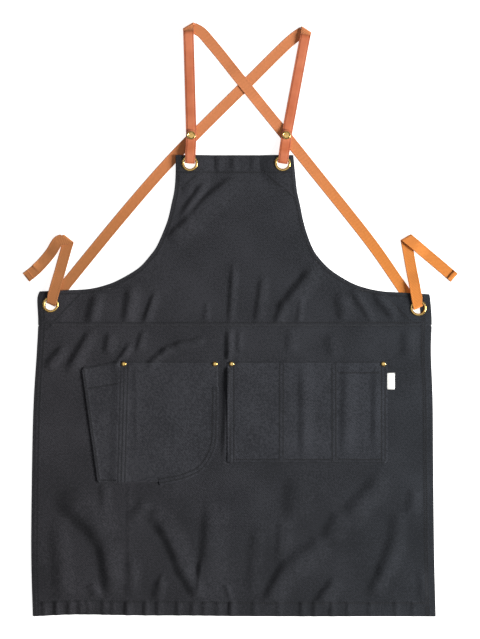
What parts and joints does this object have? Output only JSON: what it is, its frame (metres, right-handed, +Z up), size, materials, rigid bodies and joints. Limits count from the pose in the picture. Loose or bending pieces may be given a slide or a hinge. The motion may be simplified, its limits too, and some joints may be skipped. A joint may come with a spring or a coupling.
{
  "type": "cotton apron",
  "caption": "Cross-back cotton work apron lying flat, with pockets, brass eyelets, leather shoulder straps and webbing that crosses and ends in waist ties.",
  "frame": {"origin": "on the surface it lies on, under the middle of the whole apron with its straps laid out", "axes": "+X towards the right as it is seen face up, +Y from the hem towards the shoulder straps, +Z up out of the front of the cloth"},
  "size_m": [0.7818, 1.0676, 0.0117],
  "materials": {
    "canvas": "charcoal cotton twill canvas, matt",
    "pocket_canvas": "charcoal cotton twill canvas, matt",
    "leather": "smooth coral-tan leather with a low sheen",
    "webbing": "orange-tan woven cotton webbing",
    "brass": "polished brass",
    "label": "plain white woven tape"
  },
  "bodies": {
    "root": {"bib_panel": "canvas", "skirt_panel": "canvas", "pocket_left": "pocket_canvas", "pocket_tool": "pocket_canvas", "pocket_right": "pocket_canvas", "side_label": "label", "eyelet_bib_left": "brass", "eyelet_waist_left": "brass", "strap_snap_left": "brass", "eyelet_bib_right": "brass", "eyelet_waist_right": "brass", "strap_snap_right": "brass", "pocket_rivet_left_outer": "brass", "pocket_rivet_left_inner": "brass", "pocket_rivet_right_inner": "brass", "pocket_rivet_right_outer": "brass", "leather_strap_left": "leather", "webbing_strap_left": "webbing", "leather_strap_right": "leather", "webbing_strap_right": "webbing"}
  },
  "joints": []
}
